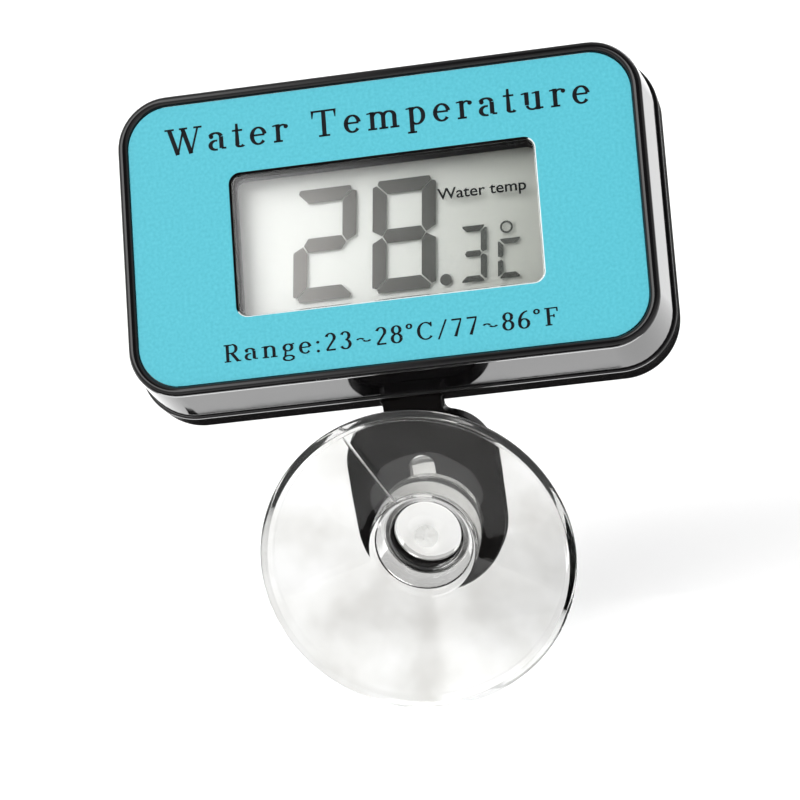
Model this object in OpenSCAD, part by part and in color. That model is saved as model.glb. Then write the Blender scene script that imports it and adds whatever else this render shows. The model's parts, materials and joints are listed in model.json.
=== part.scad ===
// Submersible digital aquarium thermometer.
// The row frame has its origin at the centre of the suction cup's rim, which
// lies in the plane y = 0 against the tank's glass. +Z is up and -Y points out
// of the tank. The case leans back over the cup. It is drawn in its own case
// frame, with x to the right, y into the case from the face and z up the face,
// and in_case() sets it in the row frame.

/* [Case] */
// Width of the case
case_w = 60; // [56:0.5:66]
// Height of the case
case_h = 35.2; // [34:0.2:40]
// Radius of the case's corners, seen from the front
case_corner_r = 6; // [5:0.5:8]
// Depth of the front shell, behind the face
shell_depth = 8; // [7.9:0.1:9]
// Depth of the case without the battery boss
case_depth = 13.5; // [13:0.5:16]
// Wall thickness of both shells
wall = 1.6; // [1.2:0.1:2]
// How far the face's edge is set in from the case's width and height
face_inset = 0.2; // [0:0.1:0.3]
// How far the front shell's sides flare out at the joint
flare = 0.4; // [0:0.1:0.6]
// Radius of the half-round bead round the face
bead_r = 0.6; // [0.5:0.1:0.6]
// How far the back cover stands out past the front shell's flared end
cover_step = 0.3; // [0.1:0.1:0.5]
// Rounding of the back cover's rear edge
cover_edge_r = 2; // [1:0.5:3]

/* [Face] */
// Width of the printed label
label_w = 57.2; // [50:0.1:57.4]
// Height of the printed label
label_h = 32.4; // [30:0.1:32.6]
// Thickness of the label
label_t = 0.2; // [0.1:0.05:0.3]
// Width of the window
window_w = 34.5; // [30:0.5:36]
// Height of the window
window_h = 16.4; // [14:0.2:17]
// Corner radius of the window
window_r = 1.2; // [0.6:0.1:2]
// Height of the window's centre on the face
window_z = -0.85; // [-1.5:0.05:0]

/* [Display] */
// Depth of the display's front surface behind the face
display_y = 3.2; // [3.1:0.1:3.4]
// Height of the two large digits
digit_h = 12.9; // [10:0.1:13]
// Height of the small digit
small_digit_h = 6.4; // [5:0.1:7]
// Sideways lean of the digits, as run over rise
digit_slant = 0.075; // [0:0.005:0.12]

/* [Bracket] */
// Angle between the case's face and the tank's glass
lean = 30; // [28:1:32]
// Width of the tab
tab_w = 16.6; // [16:0.2:18.4]
// Thickness of the tab
tab_t = 2.2; // [1.8:0.1:2.4]
// Radius of the hole for the cup's neck
neck_hole_r = 4.1; // [3.8:0.1:4.5]
// Width of the slot that lets the hole spread
slot_w = 2.8; // [2:0.2:3]

/* [Suction cup] */
// Diameter of the cup's rim
cup_d = 35; // [33:0.5:36]
// Depth of the tab's front face behind the cup's rim
tab_y = 12.4; // [12.2:0.1:12.6]
// Radius of the cup's boss and of its retaining head
boss_r = 6; // [5.5:0.1:6.5]

/* [Battery] */
// Diameter of a button cell
cell_d = 11.6; // [11.4:0.1:11.6]
// Thickness of a button cell
cell_t = 5.4; // [5.2:0.1:5.4]
// Radius of the battery chamber
chamber_r = 12.5; // [12.3:0.1:12.5]
// Thickness of the cap's flange
cap_flange_t = 1.5; // [1.3:0.1:2]
// Thickness of the O-ring
o_ring_d = 1.1; // [1:0.05:1.1]

/* [Hidden] */
$fn = 64;
over = 1;                          // how far a cutter runs past a face
gap = 0.1;                         // clearance between parts put together
fit = 0.05;                        // running clearance of screwed parts

// The case against the cup: the case's centre, seen from the cup's rim
case_back = -6;                    // face of the label, in the case's depth
case_up = 37.4;                    // centre of the face, up the case's face

// Depths in the case frame, from the face backwards
face_y = label_t;
pane_t = 1.2;
pane_y = 0.35;
collar_y = display_y - gap;        // rear end of the window's collar
polariser_t = 0.15;
glass_t = 0.4;
segment_t = 0.05;
front_glass_y = display_y + polariser_t;
segment_y = front_glass_y + glass_t;
rear_glass_y = segment_y + segment_t;
reflector_y = rear_glass_y + glass_t;
board_y = 6.2;
board_t = 1;
board_back = board_y + board_t;

// Outlines on the face
window_x = 0.15;
ledge = 0.3;                       // shelf that the pane is bonded on
collar_wall = 1.1;
front_glass_w = 38;
front_glass_h = 21;
rear_glass_h = 17.8;
holder_w = 41;
holder_h = 24;
strip_h = 1.3;
board_w = 50;
board_h = 26.4;
screw_x = 23.2;
screw_z = 11.4;
screw_r = 0.8;
screw_head_r = 1.6;
screw_boss_r = 1.8;
bead_x = 17;                       // the thermistor's bead
bead_y = board_back + 1.9;
bead_z = -13.6;

// Back cover and battery chamber
cover_w = case_w + 2 * (flare + cover_step);
cover_h = case_h + 2 * (flare + cover_step);
cover_corner_r = case_corner_r + flare + cover_step;
tongue_in = wall + gap;            // tongue's outer face, in from the case's side
tongue_t = 0.9;
cavity_in = tongue_in + tongue_t;
gasket_in = 0.4;
gasket_w = 0.7;
gasket_t = 0.5;
floor_y = 9.4;                     // outer face of the chamber's floor
floor_t = 1;
chamber_y = floor_y + floor_t;
contact_t = 0.25;
cell_x = 5.95;
cell_y = chamber_y + contact_t + gap;
bridge_t = 0.25;
flange_y = cell_y + cell_t + fit + bridge_t;
boss_end_y = flange_y - gap;       // rear end of the battery boss
thread_r = chamber_r + 0.9;
thread_h = 3.1;
battery_boss_r = thread_r + 2.2;
seat_r = thread_r + 1.3;           // rebate that the O-ring lies in
o_ring_r = thread_r + 0.6;
o_ring_y = flange_y - o_ring_d / 2 - 0.02;
seat_y = o_ring_y - o_ring_d / 2 - gap;

// Tab and cup, in the row frame
tab_r = tab_w / 2;
tab_shoulder_r = 5.4;
tab_top = 12.7;
tab_neck_w = 6.8;
tab_neck_top = tab_top + 3.5;      // ends inside the case's lower wall
tab_fillet_r = 0.9;
slot_top = 7.8;
neck_r = neck_hole_r - gap;
cup_r = cup_d / 2;

// ---- shared shapes ----

// Places the case frame in the row frame
module in_case() {
    rotate([-lean, 0, 0]) translate([0, case_back, case_up]) children();
}

// Extrudes an outline in x and z from depth y0 back to depth y1
module deep(y0, y1) {
    translate([0, y1, 0]) rotate([90, 0, 0]) linear_extrude(y1 - y0) children();
}

// Turns a profile of radius and depth about the depth axis
module turned() {
    rotate([-90, 0, 0]) rotate_extrude() children();
}

// Rectangle with true arcs at its corners
module outline(w, h, r) {
    square([w - 2 * r, h], center = true);
    square([w, h - 2 * r], center = true);
    for (sx = [-1, 1], sz = [-1, 1])
        translate([sx * (w / 2 - r), sz * (h / 2 - r)]) circle(r);
}

// Closed band between an outline and the same one moved in by t
module band(w, h, r, t) {
    difference() {
        outline(w, h, r);
        outline(w - 2 * t, h - 2 * t, r - t);
    }
}

// Slab whose rear edge is rounded by e
module soft_slab(w, h, r, y0, y1, e) {
    deep(y0, y1 - e) outline(w, h, r);
    deep(y0, y1) outline(w - 2 * e, h - 2 * e, r - e);
    for (sz = [-1, 1])
        translate([0, y1 - e, sz * (h / 2 - e)]) rotate([0, 90, 0])
            cylinder(r = e, h = w - 2 * r, center = true);
    for (sx = [-1, 1])
        translate([sx * (w / 2 - e), y1 - e, 0])
            cylinder(r = e, h = h - 2 * r, center = true);
    for (sx = [-1, 1], sz = [-1, 1])
        translate([sx * (w / 2 - r), y1 - e, sz * (h / 2 - r)])
            turned() translate([r - e, 0]) circle(e);
}

// Slab that grows by f on every side from depth y0 back to depth y1
module flared_slab(w, h, r, y0, y1, f) {
    for (sx = [-1, 1], sz = [-1, 1])
        translate([sx * (w / 2 - r), y0, sz * (h / 2 - r)]) rotate([-90, 0, 0])
            cylinder(r1 = r, r2 = r + f, h = y1 - y0);
    rotate([90, 0, 90]) linear_extrude(w - 2 * r, center = true)
        polygon([[y0, -h / 2], [y1, -h / 2 - f], [y1, h / 2 + f], [y0, h / 2]]);
    linear_extrude(h - 2 * r, center = true)
        polygon([[-w / 2, y0], [w / 2, y0], [w / 2 + f, y1], [-w / 2 - f, y1]]);
}

// Half-round bead along the edge of the face
module rim_bead(w, h, r, b) {
    for (sz = [-1, 1])
        translate([0, face_y, sz * (h / 2 - b)]) rotate([0, 90, 0])
            cylinder(r = b, h = w - 2 * r, center = true);
    for (sx = [-1, 1])
        translate([sx * (w / 2 - b), face_y, 0])
            cylinder(r = b, h = h - 2 * r, center = true);
    for (quarter = [0:3]) {
        sx = (quarter == 0 || quarter == 3) ? 1 : -1;
        sz = quarter < 2 ? 1 : -1;
        translate([sx * (w / 2 - r), face_y, sz * (h / 2 - r)]) rotate([90, 0, 0])
            rotate([0, 0, 90 * quarter]) rotate_extrude(angle = 90)
                translate([r - b, 0]) circle(b);
    }
}

// Puts a copy at each of the four board screws
module at_screws() {
    for (sx = [-1, 1], sz = [-1, 1])
        translate([sx * screw_x, 0, sz * screw_z]) children();
}

// Centres an outline on the window
module at_window() {
    translate([window_x, window_z]) children();
}

// ---- face and front shell ----

// Moulded front: face plate, rim bead, flared walls, window collar, screw bosses
module front_shell() {
    color("#1b1b1d") in_case() {
        difference() {
            union() {
                flared_slab(case_w - 2 * face_inset, case_h - 2 * face_inset,
                            case_corner_r - face_inset, face_y, shell_depth,
                            face_inset + flare);
                rim_bead(case_w - 2 * face_inset, case_h - 2 * face_inset,
                         case_corner_r - face_inset, bead_r);
            }
            deep(face_y + wall, shell_depth + over)
                outline(case_w - 2 * wall, case_h - 2 * wall, case_corner_r - wall);
            deep(-over, pane_y + pane_t) at_window()
                outline(window_w, window_h, window_r);
            deep(-over, shell_depth) at_window()
                outline(window_w - 2 * ledge, window_h - 2 * ledge, window_r - ledge);
        }
        deep(face_y + wall, collar_y) at_window()
            band(window_w - 2 * ledge + 2 * collar_wall,
                 window_h - 2 * ledge + 2 * collar_wall,
                 window_r - ledge + collar_wall, collar_wall);
        at_screws() difference() {
            deep(face_y + wall, board_y) circle(screw_boss_r);
            deep(face_y + wall + gap, board_y + over) circle(screw_r + fit);
        }
    }
}

// Printed plastic film bonded inside the bead, open at the window
module face_label() {
    color("#63c2d2") in_case() deep(0, label_t) difference() {
        outline(label_w, label_h, case_corner_r - 1.2);
        at_window() outline(window_w, window_h, window_r);
    }
}

// Clear acrylic pane bonded into the window on its ledge
module window_pane() {
    color([0.85, 0.92, 0.95, 0.35]) in_case() deep(pane_y, pane_y + pane_t)
        at_window() outline(window_w - 2 * fit, window_h - 2 * fit, window_r - fit);
}

// ---- display ----

// Front polarising film of the display
module lcd_polariser() {
    color([0.75, 0.76, 0.72, 0.4]) in_case()
        deep(display_y, display_y + polariser_t) at_window()
            square([front_glass_w - 1, front_glass_h - 2], center = true);
}

// Front glass plate, whose long edges carry the contact tracks
module lcd_front_glass() {
    color([0.8, 0.9, 0.88, 0.35]) in_case()
        deep(front_glass_y, front_glass_y + glass_t) at_window()
            square([front_glass_w, front_glass_h], center = true);
}

// Rear glass plate, lower than the front one so that the tracks stay bare
module lcd_rear_glass() {
    color([0.8, 0.9, 0.88, 0.35]) in_case()
        deep(rear_glass_y, rear_glass_y + glass_t) at_window()
            square([front_glass_w, rear_glass_h], center = true);
}

// Silvered film that throws the light back through the display
module lcd_reflector() {
    color("#cfccc6") in_case() deep(reflector_y, reflector_y + polariser_t)
        at_window() square([front_glass_w - 1, rear_glass_h - 1], center = true);
}

// Leans a point of a digit to the right with its height
function leant(p) = [p[0] + digit_slant * p[1], p[1]];

// The four outlines that a digit repeats: long, upright and middle strokes.
// t is the stroke's thickness and m the light gap left at a mitre.
function stroke_top(w, h, t, m) = [
    [0.45 * t, h], [w - 0.45 * t, h], [w - 0.28 * t - m, h - 0.28 * t],
    [w - t - m, h - t], [t + m, h - t], [0.28 * t + m, h - 0.28 * t]];
function stroke_upright(h, t, m) = [
    [0, h - 0.45 * t], [0.28 * t, h - 0.28 * t - m], [t, h - t - m],
    [t, h / 2 + t / 2 + m / 2], [0.68 * t, h / 2 + m], [0, h / 2 + 0.45 * t]];
function stroke_middle(w, h, t, m) = [
    [0.68 * t + m, h / 2], [t + m, h / 2 + t / 2], [w - t - m, h / 2 + t / 2],
    [w - 0.68 * t - m, h / 2], [w - t - m, h / 2 - t / 2], [t + m, h / 2 - t / 2]];
function flip_x(points, w) = [for (p = points) [w - p[0], p[1]]];
function flip_z(points, h) = [for (p = points) [p[0], h - p[1]]];

// Outline of one stroke: a top, b and c right, d foot, e and f left, g middle
function stroke(name, w, h, t, m) =
    name == "a" ? stroke_top(w, h, t, m) :
    name == "b" ? flip_x(stroke_upright(h, t, m), w) :
    name == "c" ? flip_x(flip_z(stroke_upright(h, t, m), h), w) :
    name == "d" ? flip_z(stroke_top(w, h, t, m), h) :
    name == "e" ? flip_z(stroke_upright(h, t, m), h) :
    name == "f" ? stroke_upright(h, t, m) : stroke_middle(w, h, t, m);

// One digit made of the strokes named in shown
module digit(shown, w, h, t, m) {
    for (name = shown)
        polygon([for (p = stroke(name, w, h, t, m)) leant(p)]);
}

// Switched strokes of the display: 28.3 and a small c with a degree ring
module lcd_segments() {
    color("#4a4340") in_case() deep(segment_y, segment_y + segment_t) {
        foot = -7.45;
        big_w = 7.2;
        small_w = 3.05;
        translate([-11.5, foot]) digit("abged", big_w, digit_h, 1.6, 0.1);
        translate([-2.45, foot]) digit("abcdefg", big_w, digit_h, 1.6, 0.1);
        translate([5.95, foot + 0.7]) circle(0.66);
        translate([7.45, foot + 0.1])
            digit("abcdg", small_w, small_digit_h, 0.68, 0.12);
        translate([11.75, foot + 0.1])
            digit("adef", small_w - 0.3, 4.5, 0.62, 0.12);
        translate([13.15, foot + 5.9]) difference() {
            circle(0.72);
            circle(0.5);
        }
    }
}

// Moulded frame that keeps the display square over the board
module lcd_holder() {
    color("#e9e7e0") in_case() deep(display_y, board_y) at_window()
        difference() {
            square([holder_w, holder_h], center = true);
            square([front_glass_w + 2 * gap, front_glass_h + 2 * gap], center = true);
        }
}

// Two striped rubber strips from the front glass's bare edges to the board
module connector_strips() {
    color("#d8a0a8") in_case() deep(rear_glass_y, board_y) at_window()
        for (sz = [-1, 1])
            translate([0, sz * (front_glass_h - strip_h - gap) / 2])
                square([front_glass_w - 2, strip_h], center = true);
}

// ---- board ----

// Circuit board, with a hole for each screw
module circuit_board() {
    color("#1f6b3a") in_case() deep(board_y, board_back) difference() {
        outline(board_w, board_h, 1.5);
        for (sx = [-1, 1], sz = [-1, 1])
            translate([sx * screw_x, sz * screw_z]) circle(screw_r + 2 * fit);
    }
}

// Resin drop over the bare controller chip
module controller_resin() {
    dome_r = 8;
    dome_h = 1.4;
    color("#141414") in_case() translate([-12, board_back, 5])
        turned() intersection() {
            translate([0, dome_h - dome_r]) circle(dome_r);
            square([dome_r, dome_h]);
        }
}

// Clock crystal in its can, lying on the board
module clock_crystal() {
    color("#c9c9cc") in_case()
        translate([-1, board_back + 1.05, 10.5]) rotate([0, 90, 0])
            cylinder(r = 1, h = 6);
}

// Chip resistors and capacitors
module chip_components() {
    color("#8a6f50") in_case()
        for (place = [[-20, -4], [-20, -7], [-16, -9], [-12, -9], [4, 6],
                      [9, 6], [14, 4], [19, 2], [19, -3], [3, -9]])
            deep(board_back, board_back + 0.6) translate(place)
                square([2, 1.2], center = true);
}

// Thermistor bead, past the board's lower edge and close to the lower wall
module thermistor() {
    color("#20262c") in_case() translate([bead_x, bead_y, bead_z]) sphere(1.3);
}

// The thermistor's two wire legs, bent up to the board
module thermistor_legs() {
    leg_r = 0.2;
    leg_h = 3.5;
    color("#c0c0c4") in_case() for (sx = [-1, 1])
        translate([bead_x + sx * 0.5, 0, bead_z + 0.6]) {
            translate([0, bead_y, 0]) cylinder(r = leg_r, h = leg_h);
            deep(board_back, bead_y + leg_r) translate([0, leg_h]) circle(leg_r);
        }
}

// Four self-tapping screws with cross slots
module board_screws() {
    color("#b8b8bc") in_case() at_screws() difference() {
        union() {
            deep(board_y - 3.6, board_back + fit) circle(screw_r);
            deep(board_back, board_back + 0.9) circle(screw_head_r);
        }
        for (turn = [0, 90])
            deep(board_back + 0.4, board_back + 2) rotate(turn)
                square([2 * screw_head_r - 1, 0.4], center = true);
    }
}

// ---- back cover and battery ----

// Ring that the seal fills, between the shell's end and the cover
module gasket_ring() {
    deep(shell_depth, shell_depth + gasket_t)
        band(case_w - 2 * gasket_in, case_h - 2 * gasket_in,
             case_corner_r - gasket_in, gasket_w);
}

// Silicone seal between the two shells
module case_gasket() {
    color("#3a3a3c") in_case() gasket_ring();
}

// Tab's outline: round foot about the cup's axis, shoulders and a narrow neck
module tab_outline() {
    shoulder_x = tab_r - tab_shoulder_r;
    shoulder_z = tab_top - tab_shoulder_r;
    corner = tab_neck_w / 2 + tab_fillet_r;
    // the neck's fillets touch the shoulders' arcs
    fillet_z = shoulder_z + sqrt(pow(tab_shoulder_r + tab_fillet_r, 2)
                                 - pow(corner - shoulder_x, 2));
    circle(tab_r);
    translate([-tab_r, 0]) square([tab_w, shoulder_z]);
    translate([-shoulder_x, 0]) square([2 * shoulder_x, tab_top]);
    for (sx = [-1, 1]) translate([sx * shoulder_x, shoulder_z])
        circle(tab_shoulder_r);
    translate([-tab_neck_w / 2, 0]) square([tab_neck_w, tab_neck_top]);
    difference() {
        translate([-corner, shoulder_z])
            square([2 * corner, fillet_z - shoulder_z]);
        for (sx = [-1, 1]) translate([sx * corner, fillet_z])
            circle(tab_fillet_r);
    }
}

// Hole for the cup's neck, with its slot
module tab_hole() {
    circle(neck_hole_r);
    translate([0, slot_top - slot_w / 2]) circle(slot_w / 2);
    translate([-slot_w / 2, 0]) square([slot_w, slot_top - slot_w / 2]);
}

// Moulded back with the battery boss and the tab for the suction cup
module back_cover() {
    color("#161618") difference() {
        union() {
            in_case() {
                soft_slab(cover_w, cover_h, cover_corner_r, shell_depth,
                          case_depth, cover_edge_r);
                deep(shell_depth - 1.2, shell_depth + 1)
                    band(case_w - 2 * tongue_in, case_h - 2 * tongue_in,
                         case_corner_r - tongue_in, tongue_t);
                deep(floor_y, boss_end_y) circle(battery_boss_r);
            }
            deep(tab_y, tab_y + tab_t) tab_outline();
        }
        in_case() {
            difference() {
                deep(shell_depth - 2 * over, case_depth - wall)
                    outline(case_w - 2 * cavity_in, case_h - 2 * cavity_in,
                            case_corner_r - cavity_in);
                deep(floor_y, case_depth) circle(battery_boss_r);
            }
            gasket_ring();
            deep(chamber_y, boss_end_y) circle(chamber_r);
            deep(boss_end_y - thread_h, boss_end_y + over) circle(thread_r);
            deep(seat_y, boss_end_y + over) circle(seat_r);
            for (sx = [-1, 1]) translate([sx * cell_x, 0, 0])
                deep(floor_y - over, chamber_y + over) circle(0.5);
        }
        deep(tab_y - over, tab_y + tab_t + over) tab_hole();
    }
}

// Sprung leaf in the chamber's floor, with a pin through it to the wires
module floor_contact(sx, leaf_r) {
    in_case() translate([sx * cell_x, 0, 0]) {
        deep(chamber_y, chamber_y + contact_t) circle(leaf_r);
        deep(floor_y - 0.4, chamber_y + contact_t) circle(0.45);
    }
}

// Contact under the cell that stands with its case down
module positive_contact() {
    color("#d2cfc4") floor_contact(-1, 4.4);
}

// Contact under the cell that stands with its case up
module negative_contact() {
    color("#d2cfc4") floor_contact(1, 2.6);
}

// Wires from the contact pins to the board
module contact_wires() {
    color("#a02020") in_case() for (sx = [-1, 1])
        translate([sx * cell_x, 0, 0])
            deep(board_back, floor_y - 0.4) circle(0.45);
}

// Button cell: can with a crimped edge and a smaller raised pole.
// up is 1 where the small pole faces the cap, and -1 where it faces the floor.
module button_cell(sx, up) {
    pole_r = 4.6;
    pole_t = 0.4;
    mid_y = cell_y + cell_t / 2;
    color("#c6c6c8") in_case() translate([sx * cell_x, mid_y, 0])
        rotate([up > 0 ? 0 : 180, 0, 0]) {
            deep(-cell_t / 2, cell_t / 2 - pole_t - 0.2) circle(cell_d / 2);
            deep(0, cell_t / 2 - pole_t) circle(cell_d / 2 - 0.3);
            deep(0, cell_t / 2) circle(pole_r);
        }
}

module battery_cell_left() { button_cell(-1, 1); }
module battery_cell_right() { button_cell(1, -1); }

// Rubber ring that seals the cap
module cap_o_ring() {
    color("#2b2b2d") in_case() translate([0, o_ring_y, 0])
        turned() translate([o_ring_r, 0]) circle(o_ring_d / 2);
}

// Plate in the cap that joins the two cells in series
module bridge_contact() {
    color("#d2cfc4") in_case() deep(flange_y - bridge_t, flange_y)
        circle(thread_r - 2.2);
}

// Screw-in cap with a coin slot and a notched edge
module battery_cap() {
    notches = 18;
    notch_r = 0.7;
    top_y = flange_y + cap_flange_t;
    color("#18181a") in_case() difference() {
        union() {
            deep(flange_y, top_y - 0.5) circle(battery_boss_r);
            turned() polygon([[0, flange_y], [battery_boss_r - 0.5, flange_y],
                              [battery_boss_r - 0.5, top_y], [0, top_y]]);
            translate([0, top_y - 0.5, 0])
                turned() translate([battery_boss_r - 0.5, 0]) circle(0.5);
            deep(flange_y - thread_h + gap, flange_y + fit) difference() {
                circle(thread_r - fit);
                circle(thread_r - 1.2);
            }
        }
        deep(top_y - 0.9, top_y + over) {
            square([15, 2.2], center = true);
            for (sx = [-1, 1]) translate([sx * 7.5, 0]) circle(1.1);
        }
        for (step = [0:notches - 1]) rotate([0, step * 360 / notches, 0])
            translate([battery_boss_r + 0.25, 0, 0])
                deep(flange_y - over, top_y + over) circle(notch_r);
    }
}

// ---- suction cup ----

// Clear cup: thin lipped cone, boss in front of the tab, neck through it and
// retaining head behind it, all turned about the cup's axis
module suction_cup() {
    lip = 0.8;                     // width of the flat lip that seals
    inner_r = 5.9;                 // where the cone meets the inner recess
    inner_y = 4.4;
    recess_r = 4.1;                // flat floor of the recess
    recess_y = 8;
    boss_y = 6.2;                  // where the cone's back meets the boss
    rim_t = 0.25;                  // thickness of the rim's edge
    rim_slope = 1.3;               // width of the sloping back of the lip
    rim_back = 1.45;               // depth that the slope runs back to
    head_y = tab_y + tab_t + gap;
    head_t = 3.6;
    crown = 1.4;                   // rounding of the head
    color([0.9, 0.93, 0.95, 0.35]) union() {
        turned() polygon([
            [0, recess_y], [recess_r, recess_y], [inner_r, inner_y],
            [cup_r - lip - 0.5, 0.45], [cup_r - lip, 0], [cup_r, 0],
            [cup_r, rim_t], [cup_r - rim_slope, rim_back],
            [boss_r, boss_y], [boss_r, tab_y - gap], [neck_r, tab_y - gap],
            [neck_r, head_y], [boss_r, head_y], [boss_r, head_y + head_t - crown],
            [boss_r - crown, head_y + head_t], [0, head_y + head_t]]);
        translate([0, head_y + head_t - crown, 0])
            turned() translate([boss_r - crown, 0]) circle(crown);
    }
}

front_shell();
face_label();
window_pane();
lcd_polariser();
lcd_front_glass();
lcd_segments();
lcd_rear_glass();
lcd_reflector();
lcd_holder();
connector_strips();
circuit_board();
controller_resin();
clock_crystal();
chip_components();
thermistor();
thermistor_legs();
board_screws();
case_gasket();
back_cover();
positive_contact();
negative_contact();
contact_wires();
battery_cell_left();
battery_cell_right();
cap_o_ring();
bridge_contact();
battery_cap();
suction_cup();
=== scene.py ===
"""Submersible digital aquarium thermometer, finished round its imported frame.

Lengths are in millimetres in the case's own frame, unless a name ends in _m: x runs to the right,
y runs into the case from the label's face, and z runs up the face. in_case() turns them into the
row frame. The tab and the suction cup stand upright, so they are drawn in the row frame itself.
"""
import json
import math

import bmesh
import bpy
import numpy as np
from mathutils import Matrix, Vector


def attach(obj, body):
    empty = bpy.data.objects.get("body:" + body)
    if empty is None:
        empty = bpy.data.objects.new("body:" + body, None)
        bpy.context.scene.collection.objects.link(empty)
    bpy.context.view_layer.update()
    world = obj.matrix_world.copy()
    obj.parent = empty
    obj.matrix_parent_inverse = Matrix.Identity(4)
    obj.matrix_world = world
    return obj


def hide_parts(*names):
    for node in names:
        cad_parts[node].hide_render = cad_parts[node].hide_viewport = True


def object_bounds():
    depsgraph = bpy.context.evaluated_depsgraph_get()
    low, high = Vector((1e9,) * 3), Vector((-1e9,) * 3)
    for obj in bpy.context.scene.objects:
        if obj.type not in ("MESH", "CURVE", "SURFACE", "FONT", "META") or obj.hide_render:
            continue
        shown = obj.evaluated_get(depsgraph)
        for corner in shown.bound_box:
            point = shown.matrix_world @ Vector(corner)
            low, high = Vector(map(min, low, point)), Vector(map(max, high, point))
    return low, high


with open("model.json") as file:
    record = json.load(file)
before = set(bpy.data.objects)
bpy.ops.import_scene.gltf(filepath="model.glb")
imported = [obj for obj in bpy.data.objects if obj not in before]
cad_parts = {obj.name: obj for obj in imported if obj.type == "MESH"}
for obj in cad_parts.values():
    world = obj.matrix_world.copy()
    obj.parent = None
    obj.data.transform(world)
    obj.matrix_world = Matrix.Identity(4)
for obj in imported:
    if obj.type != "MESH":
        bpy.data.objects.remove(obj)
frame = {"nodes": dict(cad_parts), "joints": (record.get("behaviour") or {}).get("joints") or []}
cad_low, cad_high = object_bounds()


# ---- camera ----
# A long portrait lens, a third of a metre away, a little to the right and above, with the camera
# rolled so that the case rises to the right.
MM = 0.001
camera_aim = Vector((-0.36, 7.48, 16.34)) * MM
camera_distance = 345.8 * MM
camera_azimuth = math.radians(10.49)
camera_elevation = math.radians(17.09)
camera_roll = math.radians(-9.49)


def placed(name, data):
    """An object that holds data, at the origin."""
    made = bpy.data.objects.new(name, data)
    bpy.context.scene.collection.objects.link(made)
    return made


camera = placed("camera", bpy.data.cameras.new("camera"))
camera.data.sensor_width = 36
camera.data.lens = 140.94
camera.data.clip_start = 0.01
camera.data.clip_end = 20
away = Vector((math.sin(camera_azimuth) * math.cos(camera_elevation),
               -math.cos(camera_azimuth) * math.cos(camera_elevation), math.sin(camera_elevation)))
facing = (-away).to_track_quat("-Z", "Y").to_matrix() @ Matrix.Rotation(camera_roll, 3, "Z")
camera.matrix_world = Matrix.Translation(camera_aim + away * camera_distance) @ facing.to_4x4()
bpy.context.scene.camera = camera
bpy.context.scene.view_settings.view_transform = "Standard"


# ---- front shell ----
# The case's front half, moulded in glossy black ABS: a face plate with a half-round bead round it,
# side walls that flare out to the joint, a collar behind the window that shades the display, and
# four screw bosses for the circuit board.
case_w, case_h, case_corner = 60.0, 35.2, 6.0
wall = 1.6
shell_end = 8.0
bead = 0.6
face_inset, flare = 0.2, 0.4
plate_front = 0.2
plate_back = plate_front + wall
window_w, window_h, window_corner = 34.5, 16.4, 1.2
window_x, window_z = 0.15, -0.85
ledge, ledge_y = 0.3, 1.55
collar_out, collar_end = 0.8, 3.1
screw_x, screw_z = 23.2, 11.4
boss_end, boss_r, pilot_r = 6.2, 1.8, 0.85

cap_turn = next(joint for joint in frame["joints"] if joint["name"] == "cap_turn")
cap_axis_depth = 17.0
across = np.array((1.0, 0.0, 0.0))
into = np.array(cap_turn["axis"]) / np.linalg.norm(cap_turn["axis"])
upward = np.cross(across, into)
face_m = np.array(cap_turn["pos_m"]) - cap_axis_depth * MM * into
lean = math.atan2(upward[1], upward[2])


def in_case(points):
    """Case-frame points as row-frame points in metres: the face's centre, plus x across, y along the
    cap's axis into the case, and z up the face."""
    return face_m + MM * (np.asarray(points, float) @ np.stack((across, into, upward)))


def corner_angles(steps):
    """The angles walked round a closed outline: four quarter turns, each from its start to its end."""
    return (np.arange(4)[:, None] * np.pi / 2 + np.linspace(0, np.pi / 2, steps)).ravel()


def outline(width, height, corner, steps=14):
    """Rounded rectangle: a point at angle t is its quadrant's corner centre plus corner times
    (cos t, sin t), and the straight sides join one quarter turn to the next."""
    angle = corner_angles(steps)
    side_x = np.repeat((1, -1, -1, 1), steps) * (width / 2 - corner)
    side_z = np.repeat((1, 1, -1, -1), steps) * (height / 2 - corner)
    return np.stack((side_x + corner * np.cos(angle), side_z + corner * np.sin(angle)), -1)


def at_depth(flat, depth, centre=(0.0, 0.0)):
    """An outline in x and z, moved to centre and set at one depth, as points."""
    return np.stack((flat[:, 0] + centre[0], np.full(len(flat), depth), flat[:, 1] + centre[1]), -1)


def eased(path, radii, steps=5):
    """The open path with its inner corners rounded: each arc touches both sides of its corner, and the
    turn from its first radius to its last is shared out evenly by slerp."""
    path = np.asarray(path, float)
    run = [path[:1]]
    for before, corner, after, radius in zip(path, path[1:], path[2:], radii):
        if radius == 0:
            run.append(corner[None])
            continue
        back = (before - corner) / np.linalg.norm(before - corner)
        on = (after - corner) / np.linalg.norm(after - corner)
        half = math.acos(np.clip(back @ on, -1, 1)) / 2
        centre = corner + (back + on) / np.linalg.norm(back + on) * radius / math.sin(half)
        first = corner + back * radius / math.tan(half) - centre
        last = corner + on * radius / math.tan(half) - centre
        turn = math.pi - 2 * half
        share = np.linspace(0, 1, steps + 1)[:, None]
        run.append(centre + (np.sin((1 - share) * turn) * first + np.sin(share * turn) * last)
                   / math.sin(turn))
    return np.concatenate(run + [path[-1:]])


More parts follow.
